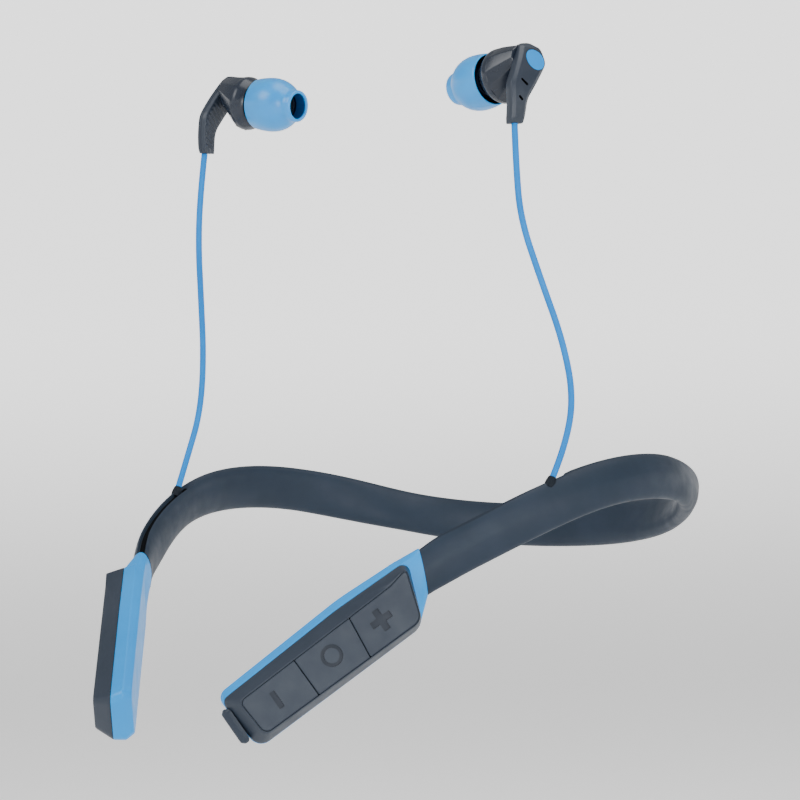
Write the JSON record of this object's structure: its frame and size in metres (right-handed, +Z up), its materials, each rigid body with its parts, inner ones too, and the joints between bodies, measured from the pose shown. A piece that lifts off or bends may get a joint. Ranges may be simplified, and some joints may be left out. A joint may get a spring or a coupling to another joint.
{
  "type": "neckband earphones",
  "caption": "Flexible neck collar ending in a control pod and a battery pod, with corded in-ear buds rising from it.",
  "frame": {"origin": "middle of the neck space, level with the collar's centreline at the nape", "axes": "+X to the wearer's left (the control side), +Y to the nape, +Z up; stored as it is worn, with the ear buds raised"},
  "size_m": [0.133, 0.1445, 0.1558],
  "materials": {
    "board_green": "lacquered",
    "bud_cover_dark": "semi-gloss",
    "bud_dark": "semi-gloss",
    "button_rubber": "matte",
    "cell_pouch": "foil",
    "ceramic": "glazed",
    "chip_black": "moulded",
    "collar_skin": "soft-touch matte",
    "cord_blue": "satin",
    "driver_black": "moulded",
    "film": "clear film",
    "foam": "foamed",
    "inlay_blue": "satin",
    "lens_clear": "frosted",
    "nickel": "plated",
    "pod_blue": "satin gloss",
    "pod_dark": "fine texture",
    "screw_steel": "zinc plated",
    "socket_steel": "satin",
    "spring_steel": "bare",
    "switch_metal": "satin",
    "tip_silicone": "translucent silicone",
    "wire_jacket": "matte"
  },
  "bodies": {
    "neckband": {"collar_band": "collar_skin", "spring_core": "spring_steel", "band_harness": "wire_jacket"},
    "control_arm": {"control_board": "board_green", "control_board_screws": "screw_steel", "control_frame": "pod_blue", "control_shell": "pod_dark", "tact_switches": "switch_metal", "radio_chip": "chip_black", "antenna": "ceramic", "microphone": "nickel", "status_led": "lens_clear", "board_capacitors": "ceramic", "charging_socket": "socket_steel", "left_cord_gland": "wire_jacket", "left_cord": "cord_blue", "left_cord_anchor": "nickel", "left_bud_housing": "bud_dark", "left_bud_cover": "bud_cover_dark", "left_cover_inlay": "inlay_blue", "left_driver": "driver_black", "left_diaphragm": "film", "left_nozzle_mesh": "nickel"},
    "battery_arm": {"battery_cell": "cell_pouch", "battery_frame": "pod_blue", "battery_pad": "foam", "battery_shell": "pod_dark", "cell_tabs": "nickel", "protection_board": "board_green", "right_cord_gland": "wire_jacket", "right_cord": "cord_blue", "right_cord_anchor": "nickel", "right_bud_housing": "bud_dark", "right_bud_cover": "bud_cover_dark", "right_cover_inlay": "inlay_blue", "right_driver": "driver_black", "right_diaphragm": "film", "right_nozzle_mesh": "nickel"},
    "volume_up": {"volume_up_button": "button_rubber"},
    "multifunction": {"multifunction_button": "button_rubber"},
    "volume_down": {"volume_down_button": "button_rubber"},
    "port_flap": {"port_cover": "button_rubber"},
    "left_tip": {"left_ear_tip": "tip_silicone"},
    "right_tip": {"right_ear_tip": "tip_silicone"}
  },
  "joints": [
    {"name": "control_arm_flex", "type": "hinge", "parent": "neckband", "child": "control_arm", "pos_m": [0.058, 0.038, 0.008], "axis": [0, 0, 1], "range_deg": [-6, 20], "stiffness_Nm_per_rad": 0.35, "deforming": ["collar_band", "spring_core", "band_harness"]},
    {"name": "battery_arm_flex", "type": "hinge", "parent": "neckband", "child": "battery_arm", "pos_m": [-0.058, 0.038, 0.008], "axis": [0, 0, -1], "range_deg": [-6, 20], "stiffness_Nm_per_rad": 0.35, "deforming": ["collar_band", "spring_core", "band_harness"]},
    {"name": "volume_up_press", "type": "slide", "parent": "control_arm", "child": "volume_up", "axis": [-0.7558, 0.6547, -0.0135], "range_m": [0, 0.0004], "stiffness_N_per_m": 900},
    {"name": "multifunction_press", "type": "slide", "parent": "control_arm", "child": "multifunction", "axis": [-0.7558, 0.6547, -0.0135], "range_m": [0, 0.0004], "stiffness_N_per_m": 900},
    {"name": "volume_down_press", "type": "slide", "parent": "control_arm", "child": "volume_down", "axis": [-0.7558, 0.6547, -0.0135], "range_m": [0, 0.0004], "stiffness_N_per_m": 900},
    {"name": "port_cover_hinge", "type": "hinge", "parent": "control_arm", "child": "port_flap", "pos_m": [0.01731, -0.07034, -0.04085], "axis": [0.3674, 0.4069, -0.8363], "range_deg": [0, 100]},
    {"name": "left_tip_pull", "type": "slide", "parent": "control_arm", "child": "left_tip", "axis": [-0.9896, 0.0866, -0.1149], "range_m": [0, 0.009]},
    {"name": "right_tip_pull", "type": "slide", "parent": "battery_arm", "child": "right_tip", "axis": [0.9896, 0.0866, -0.1149], "range_m": [0, 0.009]}
  ]
}
